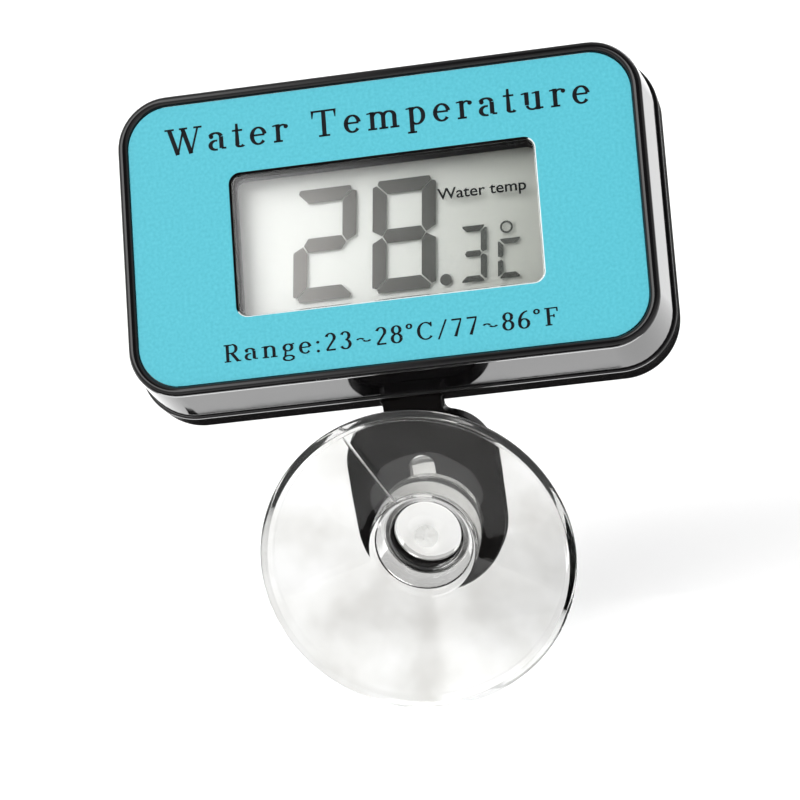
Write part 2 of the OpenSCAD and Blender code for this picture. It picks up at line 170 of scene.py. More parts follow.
def skin(rings, looped=False):
    """Points and faces of the surface through equal rings: point j of a ring is joined to point j + 1
    and to the next ring. A looped skin joins its last ring to its first, and any other fills both
    ends."""
    rings = np.asarray(rings, float)
    count, size = rings.shape[:2]
    row = np.arange(count if looped else count - 1)[:, None]
    column = np.arange(size)[None, :]
    here, there = row * size, (row + 1) % count * size
    beside = (column + 1) % size
    quads = np.stack((here + column, here + beside, there + beside, there + column), -1)
    faces = quads.reshape(-1, 4).tolist()
    if not looped:
        faces += [list(range(size)), list(range((count - 1) * size, count * size))]
    return rings.reshape(-1, 3), faces


def tidy_mesh(mesh):
    """Merges points that fall together, points every face outwards and shades the mesh smooth."""
    work = bmesh.new()
    work.from_mesh(mesh)
    bmesh.ops.remove_doubles(work, verts=work.verts, dist=0.0005 * MM)
    bmesh.ops.recalc_face_normals(work, faces=work.faces)
    work.to_mesh(mesh)
    work.free()
    mesh.shade_smooth()


def solid(name, skins, place=in_case):
    """One object made of closed skins, put in the row frame by place. Its flat faces keep flat
    normals."""
    points, faces, count = [], [], 0
    for skin_points, skin_faces in skins:
        points.append(skin_points)
        faces += [[corner + count for corner in face] for face in skin_faces]
        count += len(skin_points)
    mesh = bpy.data.meshes.new(name)
    mesh.from_pydata(place(np.concatenate(points)).tolist(), [], faces)
    tidy_mesh(mesh)
    made = placed(name, mesh)
    flats = made.modifiers.new("flat faces", "WEIGHTED_NORMAL")
    flats.keep_sharp = True
    return made


def linear(red, green, blue):
    """A colour given as 0 to 255 for the eye, as the linear colour that a shader takes."""
    share = np.array((red, green, blue)) / 255
    bright = np.where(share > 0.04045, ((share + 0.055) / 1.055) ** 2.4, share / 12.92)
    return (*bright.tolist(), 1.0)


def finish(name, **sockets):
    """A Principled material with the named sockets set, an underscore standing for a space."""
    material = bpy.data.materials.new(name)
    material.use_nodes = True
    shader = material.node_tree.nodes["Principled BSDF"]
    for socket, value in sockets.items():
        shader.inputs[socket.replace("_", " ")].default_value = value
    return material


def shader_of(material):
    """The material's Principled shader."""
    return material.node_tree.nodes["Principled BSDF"]


def grow(material, kind, feeds, **settings):
    """Adds a node. feeds maps an input's name or number to a value, or to the output that feeds it."""
    made = material.node_tree.nodes.new("ShaderNode" + kind)
    for name, value in settings.items():
        setattr(made, name, value)
    for name, value in feeds.items():
        if isinstance(value, bpy.types.NodeSocket):
            material.node_tree.links.new(value, made.inputs[name])
        else:
            made.inputs[name].default_value = value
    return made


def case_mm(material, stretch=(1, 1, 1)):
    """Case-frame coordinates in millimetres from Object coordinates, each divided by its stretch."""
    spot = grow(material, "TexCoord", {})
    turned = grow(material, "Mapping", {
        "Vector": spot.outputs["Object"], "Location": face_m.tolist(), "Rotation": (-lean, 0, 0),
        "Scale": [MM * part for part in stretch]}, vector_type="TEXTURE")
    return turned.outputs["Vector"]


def mottle(material, size, detail=2.0, stretch=(1, 1, 1)):
    """Cloudy noise with blotches size across, from 0 to 1."""
    return grow(material, "TexNoise", {
        "Vector": case_mm(material, stretch), "Scale": 1 / size, "Detail": detail}).outputs[0]


def spread(material, value, low, high, start=0.3, end=0.7):
    """value taken from the span start to end over to the span low to high."""
    return grow(material, "MapRange", {"Value": value, "From Min": start, "From Max": end,
                                       "To Min": low, "To Max": high}).outputs["Result"]


def feed(material, socket, value):
    """Feeds one socket of the material's Principled shader."""
    material.node_tree.links.new(value, shader_of(material).inputs[socket])


def shades(material, value, *colours):
    """value as a colour, through the colours evenly spread from 0 to 1."""
    ramp = grow(material, "ValToRGB", {"Fac": value})
    band = ramp.color_ramp
    while len(band.elements) < len(colours):
        band.elements.new(0.5)
    for number, colour in enumerate(colours):
        band.elements[number].position = number / (len(colours) - 1)
        band.elements[number].color = colour
    return ramp.outputs["Color"]


def relief(material, height, rise, strength=1.0):
    """Bump of the given rise, in millimetres, from a height of 0 to 1."""
    bump = grow(material, "Bump", {"Height": height, "Distance": rise * MM, "Strength": strength})
    feed(material, "Normal", bump.outputs["Normal"])


def drift(material, smooth, dull, *patches):
    """Roughness that drifts from smooth to dull, in patches whose size and detail mottle takes."""
    feed(material, "Roughness", spread(material, mottle(material, *patches), smooth, dull))


def moulded(material, peel, peel_rise, smooth, dull):
    """Moulded plastic's surface: an orange peel peel across, and gloss that drifts with handling."""
    relief(material, mottle(material, peel, 1.0), peel_rise)
    drift(material, smooth, dull, 9.0, 5.0)


def faces_in_row(made):
    """Centres, in metres, and outward directions of all faces in the row frame."""
    centres, normals = (np.empty(len(made.data.polygons) * 3) for part in range(2))
    made.data.polygons.foreach_get("center", centres)
    made.data.polygons.foreach_get("normal", normals)
    return centres.reshape(-1, 3), normals.reshape(-1, 3)


def faces_in_case(made):
    """Centres, in millimetres, and outward directions of all faces in the case's frame."""
    centres, normals = faces_in_row(made)
    to_case = np.stack((across, into, upward)).T
    return (centres - face_m) @ to_case / MM, normals @ to_case


def pick_finish(made, numbers):
    """Gives each face the finish with its number in the piece's list."""
    made.data.polygons.foreach_set("material_index", numbers.astype(np.int32))


def case_offset(inset):
    """The case's outline, moved in by inset."""
    return outline(case_w - 2 * inset, case_h - 2 * inset, case_corner - inset)


def window_offset(outset):
    """The window's outline, moved out by outset."""
    return outline(window_w + 2 * outset, window_h + 2 * outset, window_corner + outset)


window_centre = (window_x, window_z)
crown = np.linspace(0, np.pi, 17)
bead_path = np.stack((face_inset + bead + bead * np.cos(crown), plate_front - bead * np.sin(crown)), -1)
side_path = eased([(face_inset, plate_front + 0.05), (-flare, shell_end), (wall, shell_end),
                   (wall, plate_back), (wall + 1.2, plate_back)], (0.15, 0.1, 0.4))
collar_path = eased([(collar_out + 1, plate_back), (collar_out, plate_back),
                     (collar_out, collar_end), (-ledge, collar_end), (-ledge, ledge_y), (0, ledge_y),
                     (0, plate_front), (0.5, plate_front)], (0.3, 0.1, 0.1, 0, 0, 0.08))
shell_rings = [at_depth(case_offset(inset), depth) for inset, depth in (*bead_path, *side_path)]
shell_rings += [at_depth(window_offset(out), depth, window_centre) for out, depth in collar_path]


def screw_boss(x, z):
    """Tube with a blind pilot hole: rings up the outside, over the end and down the hole."""
    path = eased([(boss_r, plate_back - 0.2), (boss_r, boss_end), (pilot_r, boss_end),
                  (pilot_r, plate_back + 0.1)], (0.1, 0.15), 3)
    return skin([at_depth(outline(2 * r, 2 * r, r, 8), depth, (x, z)) for r, depth in path])


bosses = [screw_boss(side * screw_x, end * screw_z) for side in (-1, 1) for end in (-1, 1)]
front_shell = solid("front_shell_moulding", [skin(shell_rings, looped=True), *bosses])
gloss_black = finish("gloss_black_abs", Base_Color=linear(13, 12, 13), Specular_IOR_Level=0.34)
moulded(gloss_black, 1.1, 0.0008, 0.02, 0.07)
window_black = finish("matt_black_collar", Base_Color=linear(16, 13, 13), Specular_IOR_Level=0.06)
moulded(window_black, 0.2, 0.004, 0.8, 0.95)
front_shell.data.materials.append(gloss_black)
front_shell.data.materials.append(window_black)
centres, normals = faces_in_case(front_shell)
hair = 0.02
in_window = ((np.abs(centres[:, 0] - window_x) < window_w / 2 + hair)
             & (np.abs(centres[:, 2] - window_z) < window_h / 2 + hair)
             & (centres[:, 1] > plate_front))
pick_finish(front_shell, in_window)
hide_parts("front_shell")
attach(front_shell, "case")


# ---- face label ----
# A polycarbonate film, printed teal on its back, die-cut round the window and bonded inside the bead.
# Its cut edge round the window is painted pale at the foot and the right as a painted highlight, and
# painted black elsewhere as painted shade.
label_w, label_h, label_corner = 57.2, 32.4, 4.8
film = 0.2
window_cut = 0.14


def label_offset(inset):
    """The label's outline, moved in by inset."""
    return outline(label_w - 2 * inset, label_h - 2 * inset, label_corner - inset)


edge_path = eased([(1.0, 0), (0, 0), (0, film), (1.0, film)], (0.06, 0.03), 3)
cut_path = eased([(0.8, film), (0, film), (0, window_cut), (window_cut, 0), (0.8, 0)],
                 (0, 0.02, 0.02), 2)
label_rings = [at_depth(label_offset(inset), depth) for inset, depth in edge_path]
label_rings += [at_depth(window_offset(out), depth, window_centre) for out, depth in cut_path]
label = solid("face_label_film", [skin(label_rings, looped=True)])

teal = finish("teal_print", Roughness=0.45, Specular_IOR_Level=0.22)
feed(teal, "Base Color", shades(teal, spread(teal, mottle(teal, 0.35, 4.0), 0, 1),
                                linear(73, 171, 187), linear(79, 178, 194), linear(86, 184, 199)))
relief(teal, mottle(teal, 0.09, 2.0), 0.0015)
# A pale colour painted on the window cut's faces at the foot and the right: a painted highlight.
film_edge = finish("painted_highlight_edge", Base_Color=linear(226, 234, 234), Specular_IOR_Level=0.5)
relief(film_edge, mottle(film_edge, 0.2, 2.0), 0.004)
drift(film_edge, 0.2, 0.45, 0.6)
label.data.materials.append(teal)
label.data.materials.append(film_edge)
label.data.materials.append(window_black)
centres, normals = faces_in_case(label)
print_margin = 4.0
# The cut's faces that face left or up get the pale painted highlight. The rest of the cut gets the black
# collar finish as painted shade.
at_cut = (np.abs(centres[:, 0]) < label_w / 2 - print_margin) & (np.abs(normals[:, 1]) < 0.95)
painted_lit_cut = at_cut & ((normals[:, 0] < -0.3) | (normals[:, 2] > 0.3))
pick_finish(label, at_cut * 2 - painted_lit_cut)
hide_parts("face_label")
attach(label, "case")


# ---- lettering ----
# Black screen-printed lines: what the instrument reads, above the window, and the range that suits
# the tank, below it. The ink stands a hundredth of a millimetre proud.
ink = finish("black_ink", Base_Color=linear(12, 13, 18), Specular_IOR_Level=0.1)
drift(ink, 0.4, 0.6, 0.3)
relief(ink, mottle(ink, 0.08), 0.002)
ink_rise = 0.012
font_capital = 0.729


def settled(piece):
    """The mesh that a piece's curve or modifiers come to."""
    bpy.context.view_layer.update()
    return bpy.data.meshes.new_from_object(
        piece.evaluated_get(bpy.context.evaluated_depsgraph_get()))


def points_of(mesh):
    """All the mesh's points."""
    points = np.empty(len(mesh.vertices) * 3)
    mesh.vertices.foreach_get("co", points)
    return points.reshape(-1, 3)


def printed(name, words, left, right, baseline, capital, depth, weight):
    """A line of plain lettering from left to right whose capitals stand capital tall on the baseline.
    The outline, grown by weight, is scaled to fit and laid at depth, ink_rise thick."""
    text = bpy.data.curves.new(name, "FONT")
    text.body = words
    text.size = 1.0
    text.offset = weight
    text.resolution_u = 6
    text.extrude = 0.5
    holder = placed(name, text)
    mesh = settled(holder)
    points = points_of(mesh)
    low, high = points[:, 0].min(), points[:, 0].max()
    x = left + (points[:, 0] - low) / (high - low) * (right - left)
    z = baseline + points[:, 1] / font_capital * capital
    y = depth - ink_rise * (points[:, 2] + 0.5)
    mesh.vertices.foreach_set("co", in_case(np.stack((x, y, z), -1)).ravel())
    tidy_mesh(mesh)
    mesh.shade_flat()
    bpy.data.objects.remove(holder)
    line = placed(name, mesh)
    line.data.materials.clear()
    line.data.materials.append(ink)
    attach(line, "case")


# The face's two lines are drawn with a broad pen in shares of a capital's height: upright strokes
# are thick, level strokes and serifs are thin, and bows swell from thin to thick.
small, thick, thin = 0.68, 0.076, 0.036


def bar(x0, z0, x1, z1, half, end_half=None):
    """A straight stroke, with half its width at its start and at its end."""
    return np.array([(x0, z0), (x1, z1)]), np.array([half, half if end_half is None else end_half])


def bow(x, z, reach_x, reach_z, start, end, heavy=thick):
    """Part of an ellipse, thin where it runs level and heavy where it runs upright."""
    angle = np.radians(np.linspace(start, end, 22))
    path = np.stack((x + reach_x * np.cos(angle), z + reach_z * np.sin(angle)), -1)
    return path, thin + (heavy - thin) * np.abs(np.cos(angle)) ** 1.6


def ball(x, z, radius=0.08):
    """A round end: half its width follows a half turn."""
    angle = np.linspace(0.06, np.pi - 0.06, 14)
    return np.stack((x - radius * np.cos(angle), np.full(14, z)), -1), radius * np.sin(angle)


def stem(x, foot, head, foot_serif=0.16):
    """An upright with a serif across its foot and, on a small letter, a flag left of its head."""
    strokes = [bar(x, foot, x, head, thick)]
    if foot_serif:
        strokes.append(bar(x - foot_serif, foot + thin, x + foot_serif, foot + thin, thin))
    if head == small:
        strokes.append(bar(x - 0.19, small - 0.06, x, small - thin, thin * 0.7, thin))
    return strokes


# Each letter's own width, and its strokes.
letters = {
    " ": (0.42, []),
    "W": (1.34, [bar(0.14, 0.98, 0.42, 0, thick), bar(0.42, 0, 0.66, 0.98, thin),
                 bar(0.62, 0.98, 0.90, 0, thick), bar(0.90, 0, 1.17, 0.98, thin),
                 bar(-0.02, 1 - thin, 0.32, 1 - thin, thin), bar(0.5, 1 - thin, 0.8, 1 - thin, thin),
                 bar(1.02, 1 - thin, 1.32, 1 - thin, thin)]),
    "T": (0.96, [*stem(0.46, 0, 1, 0.2), bar(0.05, 1 - thin, 0.87, 1 - thin, thin),
                 bar(0.07, 1, 0.05, 0.7, thin * 1.6, thin * 0.4),
                 bar(0.85, 1, 0.87, 0.7, thin * 1.6, thin * 0.4)]),
    "a": (0.66, [bow(0.27, 0.48, 0.2, 0.17, 10, 160), ball(0.12, 0.52),
                 bar(0.47, 0.5, 0.47, 0.06, thick), bow(0.28, 0.19, 0.2, 0.17, 75, 285),
                 bar(0.47, 0.06, 0.64, 0.05, thin)]),
    "e": (0.64, [bow(0.32, 0.34, 0.23, 0.31, 8, 322), bar(0.1, 0.37, 0.54, 0.37, thin)]),
    "m": (1.2, [*stem(0.2, 0, small), *stem(0.59, 0, 0.5), *stem(0.98, 0, 0.5),
                bow(0.4, 0.47, 0.19, 0.17, 160, 0), bow(0.79, 0.47, 0.19, 0.17, 160, 0)]),
    "p": (0.76, [*stem(0.2, -0.3, small), bow(0.38, 0.34, 0.23, 0.31, 135, -135)]),
    "n": (0.8, [*stem(0.2, 0, small), *stem(0.6, 0, 0.5), bow(0.4, 0.47, 0.2, 0.18, 160, 0)]),
    "g": (0.66, [bow(0.32, 0.46, 0.19, 0.19, 0, 360),
                 bow(0.33, -0.13, 0.24, 0.14, 0, 360, thin * 1.6),
                 bar(0.2, 0.31, 0.17, 0, thin * 1.4), bar(0.44, 0.6, 0.62, 0.66, thin)]),
    "R": (0.84, [*stem(0.2, 0, 1), bar(0.03, 1 - thin, 0.42, 1 - thin, thin),
                 bar(0.2, 0.5, 0.42, 0.5, thin), bow(0.42, 0.75, 0.2, 0.24, 90, -90),
                 bar(0.4, 0.5, 0.7, 0.02, thick), bar(0.66, 0.04, 0.84, 0.04, thin)]),
    "C": (0.84, [bow(0.44, 0.5, 0.34, 0.47, 42, 320), bar(0.7, 0.98, 0.7, 0.72, thin)]),
    "F": (0.7, [*stem(0.2, 0, 1), bar(0.03, 1 - thin, 0.62, 1 - thin, thin),
                bar(0.61, 1, 0.62, 0.76, thin), bar(0.2, 0.53, 0.48, 0.53, thin),
                bar(0.46, 0.62, 0.46, 0.44, thin)]),
    "2": (0.56, [bow(0.27, 0.74, 0.19, 0.24, 165, -40), bar(0.42, 0.6, 0.08, 0.06, thin * 1.5),
                 bar(0.06, 0.05, 0.5, 0.05, 0.05)]),
    "3": (0.56, [bow(0.26, 0.75, 0.18, 0.22, 160, -90), bow(0.26, 0.27, 0.21, 0.25, 90, -160)]),
    "6": (0.58, [bow(0.28, 0.28, 0.21, 0.26, 0, 360), bow(0.48, 0.36, 0.41, 0.6, 180, 92)]),
    "7": (0.56, [bar(0.05, 0.95, 0.52, 0.95, 0.05), bar(0.49, 0.93, 0.2, 0, thin, thick)]),
    "8": (0.58, [bow(0.28, 0.75, 0.18, 0.22, 0, 360), bow(0.28, 0.27, 0.21, 0.25, 0, 360)]),
    ":": (0.3, [ball(0.13, 0.06), ball(0.13, 0.56)]),
    "~": (0.8, [bow(0.24, 0.4, 0.15, 0.09, 170, 10, thin * 1.5),
                bow(0.55, 0.4, 0.16, 0.09, 190, 350, thin * 1.5)]),
    "°": (0.32, [bow(0.15, 0.86, 0.11, 0.12, 0, 360, thin * 1.5)]),
    "/": (0.46, [bar(0.02, -0.06, 0.42, 1.02, thin * 1.2)]),
    "r": (0.6, [*stem(0.2, 0, small), bow(0.38, 0.46, 0.16, 0.18, 165, 60, thin), ball(0.49, 0.57)]),
    "t": (0.46, [bar(0.2, 0.9, 0.2, 0.12, thick * 0.6, thick),
                 bar(0.03, small - thin, 0.4, small - thin, thin),
                 bow(0.31, 0.14, 0.12, 0.11, 185, 330)]),
    "u": (0.8, [bar(0.2, small, 0.2, 0.2, thick),
                bar(0.01, small - 0.06, 0.2, small - thin, thin * 0.7, thin),
                *stem(0.58, 0, small, 0), bow(0.39, 0.2, 0.19, 0.17, 185, 345, thin * 1.4),
                bar(0.58, 0.05, 0.76, 0.06, thin)]),
}


def pen_line(name, words, left, right, baseline, capital, depth, gap):
    """Pen-drawn letters set gap apart from left to right: each stroke is a flat strip set off to both
    sides of its path, as thick as the ink."""
    starts = np.cumsum([0] + [letters[letter][0] + gap for letter in words])
    stretch = (right - left) / (starts[-1] - gap)
    strips = []
    for letter, start in zip(words, starts):
        for path, halves in letters[letter][1]:
            run = np.gradient(path, axis=0)
            run /= np.linalg.norm(run, axis=1)[:, None]
            side = np.stack((-run[:, 1], run[:, 0]), -1) * halves[:, None]
            edges = np.stack((path + side, path + side, path - side, path - side), 1)
            x = left + (start + edges[..., 0]) * stretch
            z = baseline + edges[..., 1] * capital
            y = np.broadcast_to(depth - np.array((ink_rise, 0, 0, ink_rise)), x.shape)
            strips.append(skin(np.stack((x, y, z), -1)))
    line = solid(name, strips)
    line.modifiers.clear()
    line.data.shade_flat()
    line.data.materials.append(ink)
    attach(line, "case")


pen_line("title_lettering", "Water Temperature", -24.2, 24.1, 10.4, 3.1, 0.0, 0.18)
pen_line("range_lettering", "Range:23~28°C/77~86°F", -19.0, 18.6, -14.1, 2.0, 0.0, 0.16)


# ---- window pane ----
# Clear cast acrylic, 1.2 mm thick, bonded into the window on its ledge with a black adhesive that
# covers its sides.
pane_front, pane_thickness = 0.35, 1.2
pane_gap = 0.05


def clear(name, ior, tone, **sockets):
    """Clear moulding: it bends what is seen through it, and lets lamps through to what is behind it."""
    material = finish(name, Base_Color=tone, IOR=ior, Transmission_Weight=1.0, **sockets)
    nodes = material.node_tree.nodes
    lets_light = grow(material, "BsdfTransparent", {"Color": tone})
    ray = grow(material, "LightPath", {})
    blend = grow(material, "MixShader", {0: ray.outputs["Is Shadow Ray"],
                                         1: shader_of(material).outputs["BSDF"],
                                         2: lets_light.outputs["BSDF"]})
    material.node_tree.links.new(blend.outputs["Shader"], nodes["Material Output"].inputs["Surface"])
    return material


pane_back = pane_front + pane_thickness
pane_path = eased([(-3, pane_front), (-0.3, pane_front), (-pane_gap, pane_front),
                   (-pane_gap, pane_back), (-0.3, pane_back), (-3, pane_back)], (0, 0.12, 0.12, 0), 3)
pane_rings = [at_depth(outline(window_w + 2 * out, window_h + 2 * out, max(window_corner + out, 0.2)),
                       depth, window_centre) for out, depth in pane_path]
pane = solid("window_pane_acrylic", [skin(pane_rings)])
acrylic = clear("clear_acrylic", 1.49, (0.97, 0.985, 0.985, 1), Roughness=0.0)
relief(acrylic, mottle(acrylic, 4.0, 1.0), 0.0008)
pane.data.materials.append(acrylic)
pane.data.materials.append(window_black)
centres, normals = faces_in_case(pane)
pick_finish(pane, np.abs(normals[:, 1]) < 0.5)
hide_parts("window_pane")
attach(pane, "case")


# ---- display ----
# A reflective liquid crystal cell: front polariser, two glass plates with the switched strokes
# between them, and a pearl reflector behind. The clear layers are left out of shadows and
# reflections, so that the reflector behind them gets its full light.
def dress(node_name, material):
    """Gives a CAD node its finish."""
    node = frame["nodes"][node_name]
    node.data.materials.clear()
    node.data.materials.append(material)
    return node


def see_through(name, colour, cover, roughness):
    """A thin clear layer that only veils and glosses what is behind it."""
    return finish(name, Base_Color=colour, Alpha=cover, Roughness=roughness)


polariser = see_through("polariser_film", linear(196, 196, 184), 0.03, 0.25)
relief(polariser, mottle(polariser, 0.15), 0.001)
drift(polariser, 0.2, 0.35, 2.0, 4.0)
plate_glass = see_through("display_glass", linear(222, 232, 226), 0.02, 0.05)
drift(plate_glass, 0.03, 0.1, 3.0, 4.0)
for name, layer in (("lcd_polariser", polariser), ("lcd_front_glass", plate_glass),
                    ("lcd_rear_glass", plate_glass)):
    plate = dress(name, layer)
    plate.visible_shadow = plate.visible_diffuse = plate.visible_glossy = False

# The strokes' colour is painted paler at the left and darker at the right: painted glare for the light
# the display catches at the left, where it is seen more from the side.
strokes = finish("display_strokes", Roughness=0.5, Specular_IOR_Level=0.1)
along = grow(strokes, "SeparateXYZ", {"Vector": case_mm(strokes)}).outputs["X"]
feed(strokes, "Base Color", shades(strokes, spread(strokes, along, 0, 1, -11.5, 10.5),
                                   linear(124, 114, 110), linear(54, 46, 44), linear(14, 11, 10)))
relief(strokes, mottle(strokes, 0.3), 0.001)
dress("lcd_segments", strokes)

# The reflector's colour is painted pale at the left and grey at the right, a painted glare across the
# display, with a random mottled tone on top.
pearl = finish("pearl_reflector", Roughness=0.4, Metallic=0.2)
along = grow(pearl, "SeparateXYZ", {"Vector": case_mm(pearl)}).outputs["X"]
painted_glare = grow(pearl, "Math", {0: along, 1: spread(pearl, mottle(pearl, 0.25, 3.0), -1.2, 1.2)},
             operation="ADD")
feed(pearl, "Base Color", shades(pearl, spread(pearl, painted_glare.outputs[0], 0, 1, -15.0, 15.0),
                                 linear(251, 248, 244), linear(236, 234, 229), linear(186, 185, 176)))
relief(pearl, mottle(pearl, 0.12, 3.0), 0.004)
dress("lcd_reflector", pearl)

printed("display_word", "Water temp", 5.8, 15.8, 2.3, 1.32, 3.19, 0.012)


# ---- display holder and connector strips ----
# A white frame squares the display over the board, and two rubber strips with fine carbon layers
# carry its tracks down to the board's pads.
white_frame = finish("white_holder", Base_Color=linear(232, 230, 222), Specular_IOR_Level=0.4)
moulded(white_frame, 0.8, 0.004, 0.4, 0.55)
dress("lcd_holder", white_frame)

layered_rubber = finish("layered_rubber", Roughness=0.7)
layers = grow(layered_rubber, "TexWave", {"Vector": case_mm(layered_rubber), "Scale": 3.2,
                                          "Distortion": 0.0}, bands_direction="X")
feed(layered_rubber, "Base Color", shades(layered_rubber, layers.outputs[1], linear(30, 28, 30),
                                          linear(226, 168, 178)))
relief(layered_rubber, mottle(layered_rubber, 0.2), 0.01)
dress("connector_strips", layered_rubber)


# ---- circuit board and its parts ----
# A green glass-fibre board held by four screws, with the controller bonded bare under a resin drop,
# its clock crystal, chip parts, and the thermistor reaching down to the case's lower wall.
solder_mask = finish("green_board", Specular_IOR_Level=0.5)
tracks = grow(solder_mask, "TexBrick", {
    "Vector": grow(solder_mask, "Mapping", {"Vector": case_mm(solder_mask),
                                            "Rotation": (math.pi / 2, 0, 0)}).outputs["Vector"],
    "Scale": 0.6, "Mortar Size": 0.06, "Mortar Smooth": 0.1, "Color1": (0, 0, 0, 1),
    "Color2": (0.2, 0.2, 0.2, 1), "Mortar": (1, 1, 1, 1)})
feed(solder_mask, "Base Color", shades(solder_mask, tracks.outputs[0], linear(24, 92, 50),
                                       linear(60, 142, 84)))
drift(solder_mask, 0.25, 0.45, 1.5, 4.0)
relief(solder_mask, tracks.outputs[0], 0.03)
dress("circuit_board", solder_mask)

resin = finish("black_resin", Base_Color=linear(16, 16, 17), Specular_IOR_Level=0.6)
moulded(resin, 1.6, 0.03, 0.12, 0.3)
dress("controller_resin", resin)

can_metal = finish("crystal_can", Base_Color=linear(205, 205, 208), Metallic=1.0)
drift(can_metal, 0.18, 0.38, 0.2, 3.0, (6, 1, 1))
relief(can_metal, mottle(can_metal, 0.15, 2.0, (8, 1, 1)), 0.003)
dress("clock_crystal", can_metal)

ceramic = finish("chip_ceramic", Specular_IOR_Level=0.5, Roughness=0.45)
ends = grow(ceramic, "TexVoronoi", {"Vector": case_mm(ceramic), "Scale": 0.35})
feed(ceramic, "Base Color", shades(ceramic, ends.outputs["Distance"], linear(36, 32, 30),
                                   linear(150, 118, 84), linear(188, 160, 120)))
relief(ceramic, mottle(ceramic, 0.2), 0.01)
dress("chip_components", ceramic)

epoxy = finish("thermistor_epoxy", Base_Color=linear(34, 40, 46), Specular_IOR_Level=0.6)
moulded(epoxy, 0.7, 0.02, 0.15, 0.35)
dress("thermistor", epoxy)

tinned = finish("tinned_wire", Base_Color=linear(198, 198, 202), Metallic=1.0)
drift(tinned, 0.2, 0.45, 0.3, 3.0)
relief(tinned, mottle(tinned, 0.1), 0.004)
dress("thermistor_legs", tinned)

screw_steel = finish("zinc_screw", Base_Color=linear(188, 190, 194), Metallic=1.0)
drift(screw_steel, 0.25, 0.5, 0.4, 4.0)
relief(screw_steel, mottle(screw_steel, 0.12, 3.0), 0.006)
dress("board_screws", screw_steel)


# ---- case gasket ----
# A cut ring of dark silicone, laid in the back cover's groove and squeezed there by the edge of the
# front shell when the two halves are welded.
seal_rubber = finish("seal_rubber", Base_Color=linear(46, 46, 48), Specular_IOR_Level=0.35)
moulded(seal_rubber, 0.25, 0.006, 0.55, 0.75)
dress("case_gasket", seal_rubber)


# ---- back cover ----
# The case's rear half, moulded in black ABS with a fine satin and welded to the front over the
# gasket: a step proud of the shell, with the round battery boss behind and the suction cup's flat
# tab below.
cover_step = 0.3
cover_out = flare + cover_step
cover_w, cover_h = case_w + 2 * cover_out, case_h + 2 * cover_out
cover_corner = case_corner + cover_out
cover_back, cover_edge = 13.5, 2.0
cavity_back = cover_back - wall
tongue_front, tongue_out, tongue_in = 6.8, 2.4, 3.3
groove_out, groove_in, groove_back = 1.1, 1.8, 8.5
battery_boss_r, boss_back = 15.6, 16.35
floor_front, floor_back = 9.4, 10.4
chamber_r, thread_r, thread_front = 12.5, 13.4, 13.25
seat_r, seat_front = 14.7, 15.23
tab_front, tab_thickness, tab_edge = 12.4, 2.2, 0.25
foot_r, shoulder_r, tab_top, neck_half = 8.3, 5.4, 12.7, 3.4
hole_r, slot_half, slot_top = 4.1, 1.4, 7.8
neck_fillet = 0.9
neck_root, neck_end = 14.1, 16.2


def cover_ring(inset, depth, steps=24):
    """The cover's outline, moved in by inset, at one depth."""
    return at_depth(outline(cover_w - 2 * inset, cover_h - 2 * inset, cover_corner - inset, steps),
                    depth)


def round_ring(radius, depth, steps=24, half_height=99.0):
    """A circle at one depth, cut off flat at half_height above and below."""
    ring = at_depth(outline(2 * radius, 2 * radius, radius, steps), depth)
    ring[:, 2] = np.clip(ring[:, 2], -half_height, half_height)
    return ring


rim_path = eased([(tongue_in + 0.3, cavity_back), (tongue_in, cavity_back), (tongue_in, tongue_front),
                  (tongue_out, tongue_front), (tongue_out, shell_end), (groove_in, shell_end),
                  (groove_in, groove_back), (groove_out, groove_back), (groove_out, shell_end),
                  (0, shell_end), (0, cover_back), (cover_edge + 0.02, cover_back)],
                 (0.2, 0.1, 0.1, 0, 0, 0, 0, 0, 0.28, cover_edge), 8)
boss_path = eased([(battery_boss_r + 0.25, cover_back), (battery_boss_r, cover_back),
                   (battery_boss_r, boss_back), (seat_r, boss_back), (seat_r, seat_front),
                   (thread_r, seat_front), (thread_r, thread_front), (chamber_r, thread_front),
                   (chamber_r, floor_back), (chamber_r - 1, floor_back)],
                  (0.2, 0.2, 0.1, 0, 0.1, 0, 0, 0.2), 4)
cavity_half = cover_h / 2 - tongue_in - 0.05
cover_rings = [round_ring(battery_boss_r, depth, half_height=cavity_half)
               for depth in (floor_front, cavity_back)]
cover_rings += [cover_ring(inset, depth) for inset, depth in rim_path]
cover_rings += [round_ring(radius, depth) for radius, depth in boss_path]
back_cover = solid("back_cover_moulding", [skin(cover_rings)])


def arc(centre, radius, start, end, steps=20):
    """Points of a circle from one angle in degrees to another."""
    angle = np.radians(np.linspace(start, end, steps))
    return np.stack((centre[0] + radius * np.cos(angle), centre[1] + radius * np.sin(angle)), -1)


def flat_plate(name, loops, thickness, edge):
    """A plate from closed loops, outer first and then its holes, with its edges rounded by edge. The
    filled flat curve is made a mesh in x and y, centred on its thickness."""
    curve = bpy.data.curves.new(name, "CURVE")
    curve.dimensions = "2D"
    curve.fill_mode = "BOTH"
    curve.extrude = thickness / 2 - edge
    curve.bevel_depth = edge
    curve.bevel_resolution = 3
    curve.offset = -edge
    for loop in loops:
        spline = curve.splines.new("POLY")
        spline.points.add(len(loop) - 1)
        spline.use_cyclic_u = True
        spline.points.foreach_set("co", np.column_stack((loop, np.zeros(len(loop)),
                                                         np.ones(len(loop)))).ravel())
    holder = placed(name, curve)
    mesh = settled(holder)
    bpy.data.objects.remove(holder)
    return mesh


